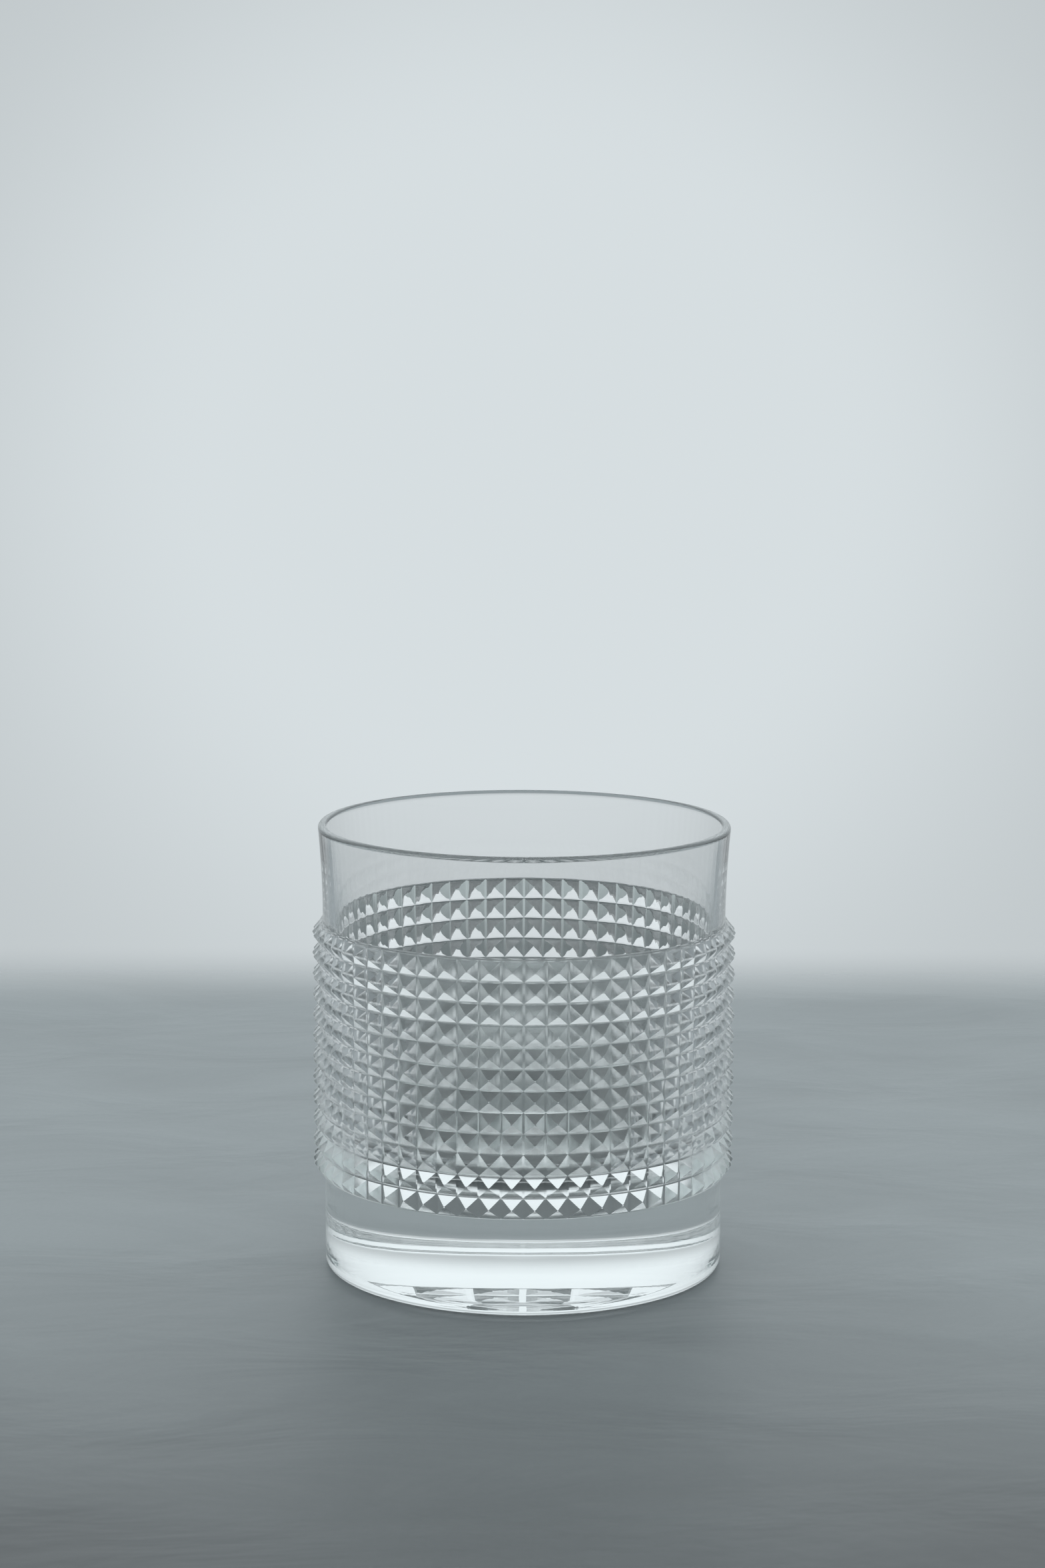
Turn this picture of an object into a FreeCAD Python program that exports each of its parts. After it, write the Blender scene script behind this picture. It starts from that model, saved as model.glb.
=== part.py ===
"""Cut-glass whiskey tumbler: a parametric FreeCAD document, in millimetres.

The glass is one moulded piece. It is drawn as four zones that meet face to face:
    base       thick solid foot with a rounded heel and a domed recess underneath
    bowl       dished floor and drafted wall, up to the top of the studded band
    rim        gently flared collar with a fully rounded lip
    stud_band  raised ring of square pyramid studs around the bowl
The origin is the centre of the ring that the glass stands on, with +Z up the axis.
"""
import FreeCAD, Part

import math
import os

import Sketcher
from FreeCAD import Vector

DRIVING_SIZES = [
    # alias, value, meaning
    ("rim_radius", 42.0, "outer radius at the lip"),
    ("total_height", 92.0, "height from the table to the top of the lip"),
    ("lip_round", 0.9, "radius of the fully rounded lip"),
    ("rim_flare", 0.9, "how far the lip stands outside the top of the wall"),
    ("wall_draft", 0.3, "how much narrower the outside is at the table than at the band's top"),
    ("wall_upper", 2.35, "wall thickness at the top of the band"),
    ("wall_lower", 3.9, "wall thickness above the floor corner, taken from the table radius"),
    ("floor_height", 18.0, "height of the middle of the dished floor"),
    ("floor_seat", 2.5, "depth of the bowl zone under the middle of the floor"),
    ("floor_curve", 90.0, "radius of the dish of the floor"),
    ("floor_corner", 7.0, "radius between the floor and the inside of the wall"),
    ("heel_round", 1.8, "radius of the outer bottom edge"),
    ("foot_ring", 8.0, "width of the flat ring that the glass stands on"),
    ("recess_depth", 1.8, "height of the domed recess under the base"),
    ("band_bottom", 20.1, "height of the lower edge of the studded band"),
    ("stud_pitch", 4.3, "height of one row of studs"),
    ("stud_rows", 12, "rows of studs"),
    ("stud_columns", 60, "studs around the glass"),
    ("stud_root", 0.45, "how far the grooves between studs stand outside the bowl"),
    ("stud_depth", 1.8, "height of a stud above the grooves"),
    ("stud_land", 0.2, "width of the small flat on top of each stud"),
    ("cutter_margin", 1.0, "how far the groove cutters reach beyond the studs"),
]

DERIVED_SIZES = [
    # alias, formula
    ("band_top", "=band_bottom + stud_rows * stud_pitch"),
    ("collar_radius", "=rim_radius - rim_flare"),
    ("table_radius", "=collar_radius - wall_draft"),
    ("draft_slope", "=wall_draft / band_top"),
    ("heel_radius", "=table_radius + draft_slope * heel_round"),
    ("base_top", "=floor_height - floor_seat"),
    ("base_radius", "=table_radius + draft_slope * base_top"),
    ("band_seat", "=table_radius + draft_slope * band_bottom"),
    ("ring_outer", "=table_radius - heel_round"),
    ("ring_inner", "=ring_outer - foot_ring"),
    ("recess_curve", "=(ring_inner ^ 2 + recess_depth ^ 2) / (2 * recess_depth)"),
    ("bore_upper", "=collar_radius - wall_upper"),
    ("bore_lower", "=table_radius - wall_lower"),
    ("corner_across", "=bore_lower - floor_corner"),
    ("curve_centre", "=floor_height + floor_curve"),
    ("curve_reach", "=floor_curve - floor_corner"),
    ("corner_drop", "=sqrt(curve_reach ^ 2 - corner_across ^ 2)"),
    ("corner_top", "=curve_centre - corner_drop"),
    ("floor_edge", "=corner_across * floor_curve / curve_reach"),
    ("edge_height", "=curve_centre - corner_drop * floor_curve / curve_reach"),
    ("lip_centre", "=total_height - lip_round"),
    ("lip_middle", "=rim_radius - lip_round"),
    ("bore_lip", "=lip_middle - lip_round"),
    ("flare_curve", "=((lip_centre - band_top) ^ 2 + rim_flare ^ 2) / (2 * rim_flare)"),
    ("bore_curve", "=flare_curve"),
    ("root_radius", "=collar_radius + stud_root"),
    ("tip_radius", "=root_radius + stud_depth"),
    ("cutter_radius", "=tip_radius + cutter_margin"),
    ("cutter_growth", "=(stud_depth + cutter_margin) / stud_depth"),
    ("column_right", "=cutter_growth * (tip_radius * sin(180deg / stud_columns) - stud_land / 2)"),
    ("column_left", "=-column_right"),
    ("row_half", "=cutter_growth * (stud_pitch - stud_land) / 2"),
    ("row_above", "=band_bottom + row_half"),
    ("row_below", "=band_bottom - row_half"),
    ("ring_grooves", "=stud_rows + 1"),
    ("band_height", "=stud_rows * stud_pitch"),
]


def make_sheet(doc):
    """Spreadsheet with one aliased cell for each size."""
    sheet = doc.addObject("Spreadsheet::Sheet", "Sizes")
    rows = [(alias, str(value), note) for alias, value, note in DRIVING_SIZES]
    rows += [(alias, formula, "worked out") for alias, formula in DERIVED_SIZES]
    for row, (alias, content, note) in enumerate(rows, start=1):
        sheet.set(f"A{row}", alias)
        sheet.setAlias(f"B{row}", alias)
        sheet.set(f"C{row}", note)
    for row, (alias, content, note) in enumerate(rows, start=1):
        sheet.set(f"B{row}", content)
    doc.recompute()
    return sheet


def make_body(doc, label):
    body = doc.addObject("PartDesign::Body", label)
    body.Label = label
    return body


def from_origin(body, role):
    """One of the body's own origin planes or axes, such as XZ_Plane or Z_Axis."""
    return next(item for item in body.Origin.OriginFeatures if item.Role == role)


def formula(name):
    """A size's name as an expression; the axis and the table are plain zero."""
    return "0" if name == "0" else f"Sizes.{name}"


def bent_stretch(start, end, radius, side):
    """Arc from start to end that bulges to the left of travel (side 1) or right (-1)."""
    chord = end - start
    half_chord = chord.Length / 2
    rise = radius - math.sqrt(radius ** 2 - half_chord ** 2)
    outward = Vector(-chord.y, chord.x, 0).normalize() * side
    return Part.Arc(start, (start + end) / 2 + outward * rise, end)


def end_at(sketch, index, point):
    """Which end of a stretch lies on the point: 1 for its start, 2 for its finish."""
    return min((1, 2), key=lambda end: (sketch.getPoint(index, end) - point).Length)


def draw_outline(body, name, plane, corners, arcs=None):
    """Closed sketch whose every corner and radius is bound to the sheet.

    corners are (across, up) pairs of size names. arcs maps a corner's index to the
    radius and the side of the arc that leads from it to the next corner; other
    corners are joined by straight lines.
    """
    arcs = arcs or {}
    sketch = body.newObject("Sketcher::SketchObject", name)
    sketch.AttachmentSupport = [(from_origin(body, plane), "")]
    sketch.MapMode = "FlatFace"

    def value(size):
        return float(sketch.evalExpression(formula(size)))

    def hold(size, *what):
        index = sketch.addConstraint(Sketcher.Constraint(*what, value(size)))
        sketch.setExpression(f"Constraints[{index}]", formula(size))

    points = [Vector(value(across), value(up), 0) for across, up in corners]
    following = points[1:] + points[:1]
    for index, (start, end) in enumerate(zip(points, following)):
        if index in arcs:
            radius, side = arcs[index]
            stretch = bent_stretch(start, end, value(radius), side)
        else:
            stretch = Part.LineSegment(start, end)
        sketch.addGeometry(stretch, False)
    for index, (across, up) in enumerate(corners):
        start = end_at(sketch, index, points[index])
        before = (index - 1) % len(corners)
        finish = end_at(sketch, before, points[index])
        sketch.addConstraint(Sketcher.Constraint("Coincident", before, finish, index, start))
        hold(across, "DistanceX", -1, 1, index, start)
        hold(up, "DistanceY", -1, 1, index, start)
    for index, (radius, side) in arcs.items():
        hold(radius, "Radius", index)
    return sketch


def turn_outline(body, kind, sketch):
    """Solid (PartDesign::Revolution) or cut (PartDesign::Groove) turned about the axis."""
    turned = body.newObject(f"PartDesign::{kind}", f"{body.Name}_{kind.lower()}")
    turned.Profile = sketch
    turned.ReferenceAxis = (sketch, ["V_Axis"])
    turned.Angle = 360
    return turned


def make_base(doc):
    """Thick foot: flat ring on the table, domed recess inside it, rounded heel."""
    body = make_body(doc, "base")
    corners = [
        ("0", "recess_depth"),
        ("ring_inner", "0"),
        ("ring_outer", "0"),
        ("heel_radius", "heel_round"),
        ("base_radius", "base_top"),
        ("0", "base_top"),
    ]
    arcs = {0: ("recess_curve", 1), 2: ("heel_round", -1)}
    turn_outline(body, "Revolution", draw_outline(body, "base_outline", "XZ_Plane", corners, arcs))
    return body


def make_bowl(doc):
    """Dished floor, rounded corner and a wall that thins towards the rim."""
    body = make_body(doc, "bowl")
    corners = [
        ("0", "base_top"),
        ("base_radius", "base_top"),
        ("collar_radius", "band_top"),
        ("bore_upper", "band_top"),
        ("bore_lower", "corner_top"),
        ("floor_edge", "edge_height"),
        ("0", "floor_height"),
    ]
    arcs = {4: ("floor_corner", 1), 5: ("floor_curve", 1)}
    turn_outline(body, "Revolution", draw_outline(body, "bowl_outline", "XZ_Plane", corners, arcs))
    return body


def make_rim(doc):
    """Collar above the band, flaring on a long curve to the rounded lip."""
    body = make_body(doc, "rim")
    corners = [
        ("bore_upper", "band_top"),
        ("collar_radius", "band_top"),
        ("rim_radius", "lip_centre"),
        ("lip_middle", "total_height"),
        ("bore_lip", "lip_centre"),
    ]
    arcs = {
        1: ("flare_curve", 1), 2: ("lip_round", -1), 3: ("lip_round", -1), 4: ("bore_curve", -1),
    }
    turn_outline(body, "Revolution", draw_outline(body, "rim_outline", "XZ_Plane", corners, arcs))
    return body


def make_stud_band(doc):
    """Ring around the bowl, cut by upright and level V grooves into pyramid studs."""
    body = make_body(doc, "stud_band")
    ring_corners = [
        ("band_seat", "band_bottom"),
        ("tip_radius", "band_bottom"),
        ("tip_radius", "band_top"),
        ("collar_radius", "band_top"),
    ]
    turn_outline(body, "Revolution", draw_outline(body, "ring_outline", "XZ_Plane", ring_corners))

    upright_corners = [
        ("root_radius", "0"),
        ("cutter_radius", "column_left"),
        ("cutter_radius", "column_right"),
    ]
    upright = body.newObject("PartDesign::Pocket", "upright_groove")
    upright.Profile = draw_outline(body, "upright_outline", "XY_Plane", upright_corners)
    upright.Type = "ThroughAll"
    upright.Reversed = True
    around = body.newObject("PartDesign::PolarPattern", "upright_grooves")
    around.Originals = [upright]
    around.Axis = (from_origin(body, "Z_Axis"), [""])
    around.Angle = 360
    around.setExpression("Occurrences", formula("stud_columns"))
    body.Tip = around

    level_corners = [
        ("root_radius", "band_bottom"),
        ("cutter_radius", "row_below"),
        ("cutter_radius", "row_above"),
    ]
    level_outline = draw_outline(body, "level_outline", "XZ_Plane", level_corners)
    level = turn_outline(body, "Groove", level_outline)
    stacked = body.newObject("PartDesign::LinearPattern", "level_grooves")
    stacked.Originals = [level]
    stacked.Direction = (from_origin(body, "Z_Axis"), [""])
    stacked.setExpression("Length", formula("band_height"))
    stacked.setExpression("Occurrences", formula("ring_grooves"))
    body.Tip = stacked
    return body


def check_document(doc, bodies):
    """Stop if any object failed to build, or any sub-part has no valid single solid."""
    for item in doc.Objects:
        if "Invalid" in item.State or "Error" in item.State:
            raise RuntimeError(f"{item.Name} did not build: {item.State}")
    for body in bodies:
        shape = body.Shape
        if shape.isNull() or not shape.isValid() or len(shape.Solids) != 1:
            raise RuntimeError(f"{body.Label} is not one valid solid")
        box = shape.optimalBoundingBox()
        print(f"{body.Label}: {shape.Volume / 1000:.3f} cm3, {len(shape.Faces)} faces, "
              f"radius {box.XMax:.2f}, z {box.ZMin:.2f} to {box.ZMax:.2f}")


def main():
    doc = FreeCAD.newDocument("Tumbler")
    make_sheet(doc)
    bodies = [make(doc) for make in (make_base, make_bowl, make_rim, make_stud_band)]
    doc.recompute()
    check_document(doc, bodies)
    os.makedirs("parts", exist_ok=True)
    for body in bodies:
        body.Shape.exportStep(f"parts/{body.Label}.step")


main()
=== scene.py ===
"""Clear-glass whiskey tumbler with a studded band, standing on a pale table in soft back light.

The whole glass is one closed mesh, so light crosses only its real surfaces. Sizes are in
metres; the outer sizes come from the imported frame, the rest are named below.
"""
import math

import bpy
import numpy as np
from mathutils import Matrix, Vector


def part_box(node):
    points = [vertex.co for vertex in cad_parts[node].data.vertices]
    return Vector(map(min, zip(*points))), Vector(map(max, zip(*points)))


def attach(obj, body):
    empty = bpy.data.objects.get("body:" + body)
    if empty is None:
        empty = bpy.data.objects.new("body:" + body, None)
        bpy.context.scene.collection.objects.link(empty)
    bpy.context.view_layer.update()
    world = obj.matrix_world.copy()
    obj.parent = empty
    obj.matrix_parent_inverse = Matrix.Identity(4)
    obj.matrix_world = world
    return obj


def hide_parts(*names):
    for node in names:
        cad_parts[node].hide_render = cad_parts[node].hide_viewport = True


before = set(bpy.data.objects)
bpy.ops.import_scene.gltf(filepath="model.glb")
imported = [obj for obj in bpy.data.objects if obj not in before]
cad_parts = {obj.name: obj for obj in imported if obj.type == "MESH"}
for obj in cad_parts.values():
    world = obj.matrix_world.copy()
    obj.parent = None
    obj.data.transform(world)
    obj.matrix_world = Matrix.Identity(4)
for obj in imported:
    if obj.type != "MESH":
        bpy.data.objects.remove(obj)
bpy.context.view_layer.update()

MM = 0.001

# ---------------------------------------------------------------- sizes of the glass

RIM_LOW, RIM_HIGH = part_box("rim")
BAND_LOW, BAND_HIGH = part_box("stud_band")
BOWL_LOW, BOWL_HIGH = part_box("bowl")

RIM_RADIUS = RIM_HIGH.x
TOTAL_HEIGHT = RIM_HIGH.z
COLLAR_RADIUS = BOWL_HIGH.x
BAND_BOTTOM = BAND_LOW.z
BAND_TOP = BAND_HIGH.z
TIP_RADIUS = BAND_HIGH.x

WALL_DRAFT = 0.3 * MM      # how much narrower the outside is at the table than at the band's top
WALL_UPPER = 2.35 * MM     # wall thickness at the top of the band
WALL_LOWER = 3.9 * MM      # wall thickness above the floor corner, from the table radius
LIP_ROUND = 0.9 * MM
FLOOR_HEIGHT = 18.0 * MM   # middle of the dished floor
FLOOR_CURVE = 90.0 * MM    # radius of the dish
FLOOR_CORNER = 7.0 * MM    # radius between the floor and the wall
HEEL_ROUND = 1.8 * MM
FOOT_RING = 8.0 * MM       # width of the flat ring that the glass stands on
RECESS_DEPTH = 1.8 * MM    # height of the domed recess inside that ring
STUD_DEPTH = 1.8 * MM
STUD_ROWS = 12
STUD_COLUMNS = 60
TABLE_RADIUS = COLLAR_RADIUS - WALL_DRAFT
ROOT_RADIUS = TIP_RADIUS - STUD_DEPTH

GROOVE_SOFT = 0.16         # share of half a stud over which a groove's bottom is rounded
RIDGE_SOFT = 0.10          # the same at the top of a stud
FILLET = 0.3 * MM          # how near its ends a smooth stretch starts to bend into the next
HALF_STUD_STEPS = (0.0, 0.12, 0.55, 0.90)    # grid lines from the groove towards the peak

# how many rings of the mesh each curved part of the outline takes
RECESS_STEPS = 16
HEEL_STEPS = 10
COLLAR_STEPS = 8
LIP_STEPS = 14
CORNER_STEPS = 12
FLOOR_STEPS = 10


# ---------------------------------------------------------------- the glass body

def outer_wall(height):
    """Radius of the plain outside at a height below the top of the band."""
    return TABLE_RADIUS + WALL_DRAFT * height / BAND_TOP


def arc(centre, radius, start, stop, steps):
    """Points (radius, height) on an arc, angles in degrees, with the first left out."""
    angles = np.radians(np.linspace(start, stop, steps + 1)[1:])
    return [(centre[0] + radius * math.cos(a), centre[1] + radius * math.sin(a)) for a in angles]


def line(start, stop, steps):
    """Points from start to stop with the first left out, and one close to each end."""
    edge = FILLET / math.dist(start, stop)
    shares = [edge, *np.linspace(0, 1, steps + 1)[1:-1], 1 - edge, 1]
    return [(start[0] + (stop[0] - start[0]) * share, start[1] + (stop[1] - start[1]) * share)
            for share in shares]


def underside_and_foot():
    """Outline from the middle of the domed recess to the lower edge of the band."""
    ring_outer = TABLE_RADIUS - HEEL_ROUND
    ring_inner = ring_outer - FOOT_RING
    points = [(ring_inner * share, RECESS_DEPTH * (1 - share * share))
              for share in np.linspace(0, 1, RECESS_STEPS + 1)]
    points += line(points[-1], (ring_outer, 0), 1)
    points += arc((ring_outer, HEEL_ROUND), HEEL_ROUND, -90, 0, HEEL_STEPS)
    points += line(points[-1], (outer_wall(BAND_BOTTOM), BAND_BOTTOM), 2)
    return points


def collar_and_bowl():
    """Outline from the top of the band over the lip and down to the middle of the floor."""
    lip_centre = (RIM_RADIUS - LIP_ROUND, TOTAL_HEIGHT - LIP_ROUND)
    climb = lip_centre[1] - BAND_TOP
    edge = FILLET / climb
    shares = np.array([0, edge, *np.linspace(0, 1, COLLAR_STEPS + 1)[1:-1], 1 - edge, 1])
    flare = RIM_RADIUS - COLLAR_RADIUS
    taper = WALL_UPPER - 2 * LIP_ROUND
    outside = COLLAR_RADIUS + flare * shares ** 2
    inside = outside - WALL_UPPER + taper * shares
    levels = BAND_TOP + climb * shares
    lean_outside = math.degrees(math.atan(2 * flare / climb))
    lean_inside = math.degrees(math.atan((2 * flare + taper) / climb))
    points = list(zip(outside, levels))[:-1]
    points += arc(lip_centre, LIP_ROUND, -2 * lean_outside, 180 - lean_inside, LIP_STEPS)
    points += list(zip(inside, levels))[-2::-1]
    bore_lower = TABLE_RADIUS - WALL_LOWER
    across = bore_lower - FLOOR_CORNER
    reach = FLOOR_CURVE - FLOOR_CORNER
    curve_centre = FLOOR_HEIGHT + FLOOR_CURVE
    corner_top = curve_centre - math.sqrt(reach ** 2 - across ** 2)
    turn = math.degrees(math.asin(across / reach))
    points += line(points[-1], (bore_lower, corner_top), 3)
    points += arc((across, corner_top), FLOOR_CORNER, 0, turn - 90, CORNER_STEPS)
    points += arc((0, curve_centre), FLOOR_CURVE, turn - 90, -90, FLOOR_STEPS)
    return points


def softened(share):
    """Height of a ridge (0 at the groove, 1 at the peak), rounded at both ends."""
    if share < GROOVE_SOFT:
        return (share * share + GROOVE_SOFT * GROOVE_SOFT) / (2 * GROOVE_SOFT)
    from_peak = 1 - share
    if from_peak < RIDGE_SOFT:
        return 1 - (from_peak * from_peak + RIDGE_SOFT * RIDGE_SOFT) / (2 * RIDGE_SOFT)
    return share


def stud_grid(count):
    """Places of the grid lines over count studs, in studs, and the ridge height at each."""
    places = []
    for stud in range(count):
        places += [stud + share / 2 for share in HALF_STUD_STEPS]
        places += [stud + 0.5]
        places += [stud + 1 - share / 2 for share in reversed(HALF_STUD_STEPS[1:])]
    heights = [softened(1 - abs(1 - 2 * (place % 1))) for place in places]
    return np.array(places), np.array(heights)


def band_surface(column_heights):
    """Radii of the band, one row of the grid for each level, and the levels."""
    places, row_heights = stud_grid(STUD_ROWS)
    places = np.append(places, STUD_ROWS)
    row_heights = np.append(row_heights, softened(0.0))
    levels = BAND_BOTTOM + (BAND_TOP - BAND_BOTTOM) * places / STUD_ROWS
    share = np.minimum(row_heights[:, None], column_heights[None, :])
    return ROOT_RADIUS + STUD_DEPTH * share, levels


def glass_body():
    """One closed mesh: foot, studded band, collar, lip, bowl and floor."""
    columns, column_heights = stud_grid(STUD_COLUMNS)
    angles = 2 * math.pi * columns / STUD_COLUMNS
    count = len(angles)
    below = underside_and_foot()
    above = collar_and_bowl()
    band_radii, band_levels = band_surface(column_heights)

    rings = [(np.full(count, r), z, False) for r, z in below[1:]]
    first_band = len(rings)
    rings += [(radii, z, True) for radii, z in zip(band_radii, band_levels)]
    last_band = len(rings) - 1
    rings += [(np.full(count, r), z, False) for r, z in above[:-1]]

    corners = []
    for radii, z, _ in rings:
        x = radii * np.cos(angles)
        y = radii * np.sin(angles)
        corners.append(np.column_stack([x, y, np.full(count, z)]))
    bottom = len(rings) * count
    corners.append(np.array([[0, 0, below[0][1]], [0, 0, above[-1][1]]]))

    faces = []
    flat = []
    ahead = (np.arange(count) + 1) % count
    for ring in range(len(rings) - 1):
        in_band = first_band <= ring < last_band
        low, high = ring * count, (ring + 1) * count
        for here, after in enumerate(ahead):
            quad = (low + here, low + after, high + after, high + here)
            if in_band:
                faces += stud_triangles(quad, band_radii, ring - first_band, here, after)
                flat += [True, True]
            else:
                faces.append(quad)
                flat.append(False)
    for here, after in enumerate(ahead):
        faces.append((bottom, after, here))
        top = (len(rings) - 1) * count
        faces.append((bottom + 1, top + here, top + after))
        flat += [False, False]

    mesh = bpy.data.meshes.new("glass_body")
    mesh.from_pydata(np.vstack(corners).tolist(), [], faces)
    mesh.polygons.foreach_set("use_smooth", [not is_flat for is_flat in flat])
    mesh.update()
    body = bpy.data.objects.new("glass_body", mesh)
    bpy.context.scene.collection.objects.link(body)
    return body


def stud_triangles(quad, radii, level, here, after):
    """Split a quad of the band along the ridge that crosses it."""
    rising = abs(radii[level, here] - radii[level + 1, after])
    falling = abs(radii[level, after] - radii[level + 1, here])
    a, b, c, d = quad
    if rising >= falling:
        return [(a, b, c), (a, c, d)]
    return [(a, b, d), (b, c, d)]


# ---------------------------------------------------------------- materials

class Nodes:
    """Adds shader nodes to one material or world and joins them up."""

    def __init__(self, owner):
        owner.use_nodes = True
        self.nodes = owner.node_tree.nodes
        self.links = owner.node_tree.links

    def feed(self, socket, source):
        """Give a socket a number or the output of another node."""
        if isinstance(source, bpy.types.NodeSocket):
            self.links.new(source, socket)
        else:
            socket.default_value = source

    def add(self, kind, output, **inputs):
        """New node; inputs name its sockets, with spaces written as underscores."""
        node = self.nodes.new("ShaderNode" + kind)
        for name, source in inputs.items():
            self.feed(node.inputs[name.replace("_", " ")], source)
        return node.outputs[output]

    def maths(self, operation, *sources):
        node = self.nodes.new("ShaderNodeMath")
        node.operation = operation
        for socket, source in zip(node.inputs, sources):
            self.feed(socket, source)
        return node.outputs["Value"]

    def vector_maths(self, operation, *sources):
        node = self.nodes.new("ShaderNodeVectorMath")
        node.operation = operation
        for socket, source in zip(node.inputs, sources):
            self.feed(socket, source)
        return node.outputs["Value"]

    def ramp(self, source, start, stop, low, high, kind="SMOOTHSTEP"):
        """Value that goes from low to high while the source goes from start to stop."""
        node = self.nodes.new("ShaderNodeMapRange")
        node.interpolation_type = kind
        for name, value in (("Value", source), ("From Min", start), ("From Max", stop),
                            ("To Min", low), ("To Max", high)):
            self.feed(node.inputs[name], value)
        return node.outputs["Result"]

    def place(self, kind="Object"):
        """Coordinates of the point, and a node that splits them into X, Y and Z."""
        vector = self.add("TexCoord", kind)
        parts = self.nodes.new("ShaderNodeSeparateXYZ")
        self.feed(parts.inputs["Vector"], vector)
        return vector, parts.outputs


GLASS_IOR = 1.52
GLASS_TINT = (0.80, 0.88, 0.87, 1)    # colour that the absorption leaves
GLASS_DENSITY = 3.0
STUD_ROUGHNESS = 0.15      # the pressed studs are a little less glossy than the plain glass
STUD_START = 0.2 * MM      # how far inside the grooves that starts
WAVE_SCALE = 60.0          # faint waviness of the whole surface
WAVE_HEIGHT = 0.5 * MM
WAVE_STRENGTH = 0.08


def clear_glass():
    """Colourless soda-lime glass with the faint waviness of a pressed surface."""
    material = bpy.data.materials.new("clear_glass")
    tree = Nodes(material)
    shader = tree.nodes["Principled BSDF"].inputs
    shader["Base Color"].default_value = (1, 1, 1, 1)
    shader["IOR"].default_value = GLASS_IOR
    shader["Transmission Weight"].default_value = 1.0
    vector, parts = tree.place()
    sideways = tree.add("CombineXYZ", "Vector", X=parts["X"], Y=parts["Y"])
    from_axis = tree.vector_maths("LENGTH", sideways)
    outside = tree.ramp(from_axis, ROOT_RADIUS - STUD_START, ROOT_RADIUS,
                        0.0, STUD_ROUGHNESS, "LINEAR")
    below_rim = tree.maths("LESS_THAN", parts["Z"], BAND_TOP)
    tree.feed(shader["Roughness"], tree.maths("MULTIPLY", outside, below_rim))
    waves = tree.add("TexNoise", "Fac", Vector=vector, Scale=WAVE_SCALE, Detail=2.0)
    bump = tree.add("Bump", "Normal", Height=waves, Strength=WAVE_STRENGTH, Distance=WAVE_HEIGHT)
    tree.feed(shader["Normal"], bump)
    volume = tree.add("VolumeAbsorption", "Volume", Color=GLASS_TINT, Density=GLASS_DENSITY)
    tree.feed(tree.nodes["Material Output"].inputs["Volume"], volume)
    return material


TABLE_EDGE = 0.283         # distance from the glass to the middle of the softened edge
TABLE_FADE = 0.09          # width over which the edge softens into the backdrop
TABLE_TONES = (0.34, 0.38) # lightness at the dark and light ends of the grain
TABLE_RED = 0.91           # red and blue as shares of the green
TABLE_BLUE = 1.03
PAINTED_SHADE_NEAR = 0.38          # share of the table's tone left at its near side, a painted shade standing in for light that falls off towards the viewer
PAINTED_SHADE_SPAN = (-0.19, 0.03)           # Y over which that painted shade goes
PAINTED_CORNER_SHADE = 0.28        # painted shade: extra darkness of the table in the two near corners, as if the light fell off there
PAINTED_CORNER_SIDE = (0.02, 0.09)            # distance from the middle over which that painted shade comes in
PAINTED_CORNER_NEAR = (-0.18, -0.12)          # Y over which it goes again
GRAIN_SCALE = 900.0
CREASE_SCALE = (15.0, 26.0, 1.0)      # creases run more across than away
# painted shade and light on the creases: darker in their hollows, lighter on the folds, beside the
# real bump
CREASE_PAINTED_SHADING = (0.92, 1.07)
CREASE_STRENGTH = 0.4
CREASE_HEIGHT = 0.006


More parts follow.
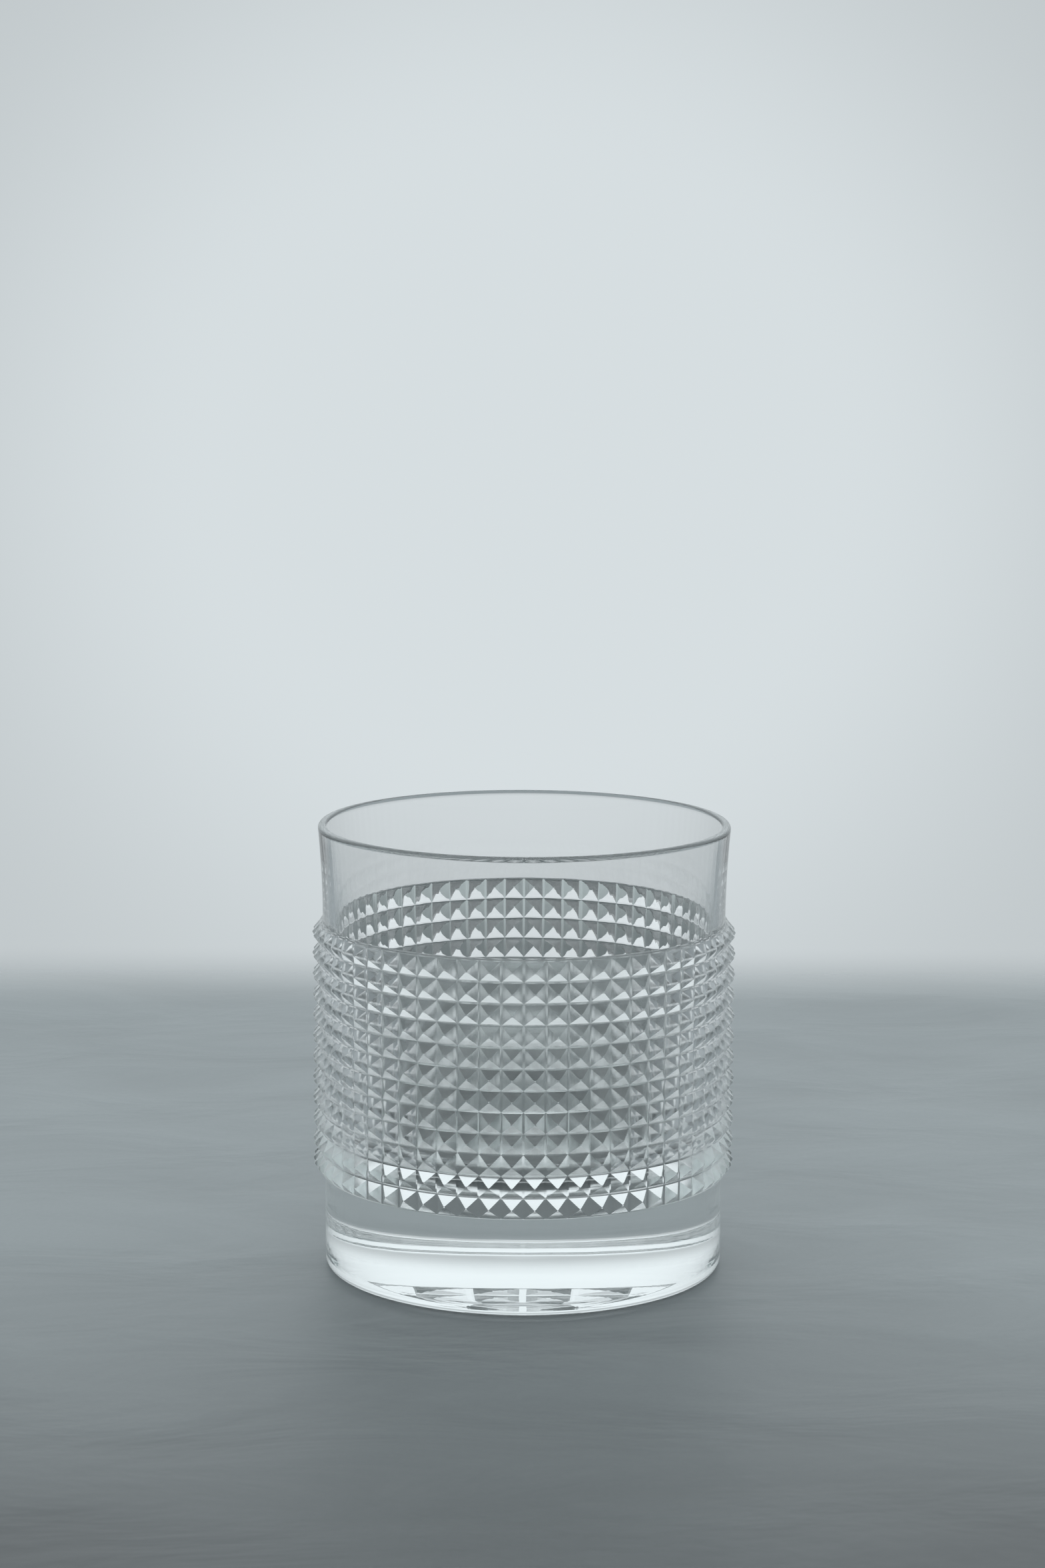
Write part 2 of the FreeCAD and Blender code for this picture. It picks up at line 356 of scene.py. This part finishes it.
def table_material():
    """Pale table top with soft creases, whose edge melts into the backdrop. Its colour carries
    painted shade towards the near side and in the near corners, and painted shade and light on the
    creases.
    """
    material = bpy.data.materials.new("pale_table")
    tree = Nodes(material)
    shader = tree.nodes["Principled BSDF"].inputs
    vector, parts = tree.place()
    grain = tree.add("TexNoise", "Fac", Vector=vector, Scale=GRAIN_SCALE, Detail=4.0)
    stretched = tree.add("Mapping", "Vector", Vector=vector, Scale=CREASE_SCALE)
    creases = tree.add("TexNoise", "Fac", Vector=stretched, Scale=1.0, Detail=4.0, Distortion=0.5)
    across, away = tree.maths("ABSOLUTE", parts["X"]), parts["Y"]
    tone = tree.ramp(grain, 0.0, 1.0, *TABLE_TONES, "LINEAR")
    # painted shade: the tone darkens towards the viewer, standing in for light that falls off
    tone = tree.maths("MULTIPLY", tone, tree.ramp(away, *PAINTED_SHADE_SPAN, PAINTED_SHADE_NEAR, 1.0))
    # painted shade and light: the crease pattern darkens its hollows and lightens its folds
    tone = tree.maths("MULTIPLY", tone, tree.ramp(creases, 0.3, 0.7, *CREASE_PAINTED_SHADING, "LINEAR"))
    # painted shade: the two near corners of the table darken further
    corner_shade_across = tree.ramp(across, *PAINTED_CORNER_SIDE, 0.0, PAINTED_CORNER_SHADE)
    corner_painted_shade = tree.maths("MULTIPLY", corner_shade_across, tree.ramp(away, *PAINTED_CORNER_NEAR, 1.0, 0.0))
    tone = tree.maths("MULTIPLY", tone, tree.maths("SUBTRACT", 1.0, corner_painted_shade))
    tint = tree.add("CombineColor", "Color", Red=tree.maths("MULTIPLY", tone, TABLE_RED),
                    Green=tone, Blue=tree.maths("MULTIPLY", tone, TABLE_BLUE))
    tree.feed(shader["Base Color"], tint)
    shader["Roughness"].default_value = 0.45
    shader["Specular IOR Level"].default_value = 0.55
    relief = tree.add("Bump", "Normal", Height=creases, Strength=CREASE_STRENGTH,
                      Distance=CREASE_HEIGHT)
    tree.feed(shader["Normal"], relief)
    from_glass = tree.maths("MAXIMUM", across, tree.maths("ABSOLUTE", away))
    inner, outer = TABLE_EDGE - TABLE_FADE / 2, TABLE_EDGE + TABLE_FADE / 2
    tree.feed(shader["Alpha"], tree.ramp(from_glass, inner, outer, 1.0, 0.0))
    return material


# ---------------------------------------------------------------- stage, light and camera

TABLE_DROP = 0.05 * MM     # how far the table lies under the glass, so the faces do not meet


def make_table():
    half = TABLE_EDGE + TABLE_FADE
    mesh = bpy.data.meshes.new("table_top")
    mesh.from_pydata([(-half, -half, 0), (half, -half, 0), (half, half, 0), (-half, half, 0)],
                     [], [(0, 1, 2, 3)])
    table = bpy.data.objects.new("table_top", mesh)
    table.location.z = -TABLE_DROP
    bpy.context.scene.collection.objects.link(table)
    mesh.materials.append(table_material())


LIGHT_TINT = (0.925, 1.0, 1.03, 1)
LIGHT_NEAR, LIGHT_FAR = 0.33, 0.73    # strength behind the viewer and behind the glass
POOL_MIDDLE = (0.0, 1.0, -0.07)       # direction of the middle of the pool of light
POOL_SPREAD = (0.08, 0.20)            # distance from it over which the pool fades
POOL_OUTSIDE = 0.80                   # strength outside the pool, as a share of that inside
OVERHEAD = 0.58                       # what the light gains overhead
OVERHEAD_SPREAD = (0.05, 0.35)        # Z of the direction over which it does


def make_backdrop():
    """Pale surroundings, brightest overhead and in a soft pool of light behind the glass."""
    world = bpy.data.worlds.new("studio")
    bpy.context.scene.world = world
    tree = Nodes(world)
    light = tree.nodes["Background"].inputs
    light["Color"].default_value = LIGHT_TINT
    vector, parts = tree.place("Generated")
    behind = tree.ramp(parts["Y"], -1.0, 1.0, LIGHT_NEAR, LIGHT_FAR)
    from_pool = tree.vector_maths("DISTANCE", vector, POOL_MIDDLE)
    pool = tree.ramp(from_pool, *POOL_SPREAD, 1.0, POOL_OUTSIDE)
    overhead = tree.ramp(parts["Z"], *OVERHEAD_SPREAD, 0.0, OVERHEAD)
    tree.feed(light["Strength"], tree.maths("MULTIPLY", behind, tree.maths("ADD", pool, overhead)))


CAMERA_PLACE = (-0.42 * MM, -743.0 * MM, 216.9 * MM)
CAMERA_DOWN = 8.96         # degrees below level
CAMERA_ROLL = 0.21         # degrees
FOCAL_LENGTH = 85.0
SENSOR = 36.0


def make_camera():
    data = bpy.data.cameras.new("camera")
    data.lens = FOCAL_LENGTH
    data.sensor_width = SENSOR
    camera = bpy.data.objects.new("camera", data)
    bpy.context.scene.collection.objects.link(camera)
    tilt = Matrix.Rotation(math.radians(90 - CAMERA_DOWN), 4, "X")
    roll = Matrix.Rotation(math.radians(CAMERA_ROLL), 4, "Z")
    camera.matrix_world = Matrix.Translation(CAMERA_PLACE) @ tilt @ roll
    bpy.context.scene.camera = camera


BOUNCES = 32               # light passes many studs before it leaves the glass
GLOSSY_BOUNCES = 16


def main():
    glass = glass_body()
    glass.data.materials.append(clear_glass())
    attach(glass, "root")
    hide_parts("base", "bowl", "rim", "stud_band")
    make_table()
    make_backdrop()
    make_camera()
    scene = bpy.context.scene
    scene.view_settings.view_transform = "Standard"
    scene.cycles.max_bounces = BOUNCES
    scene.cycles.transmission_bounces = BOUNCES
    scene.cycles.glossy_bounces = GLOSSY_BOUNCES
    bpy.context.view_layer.update()


main()
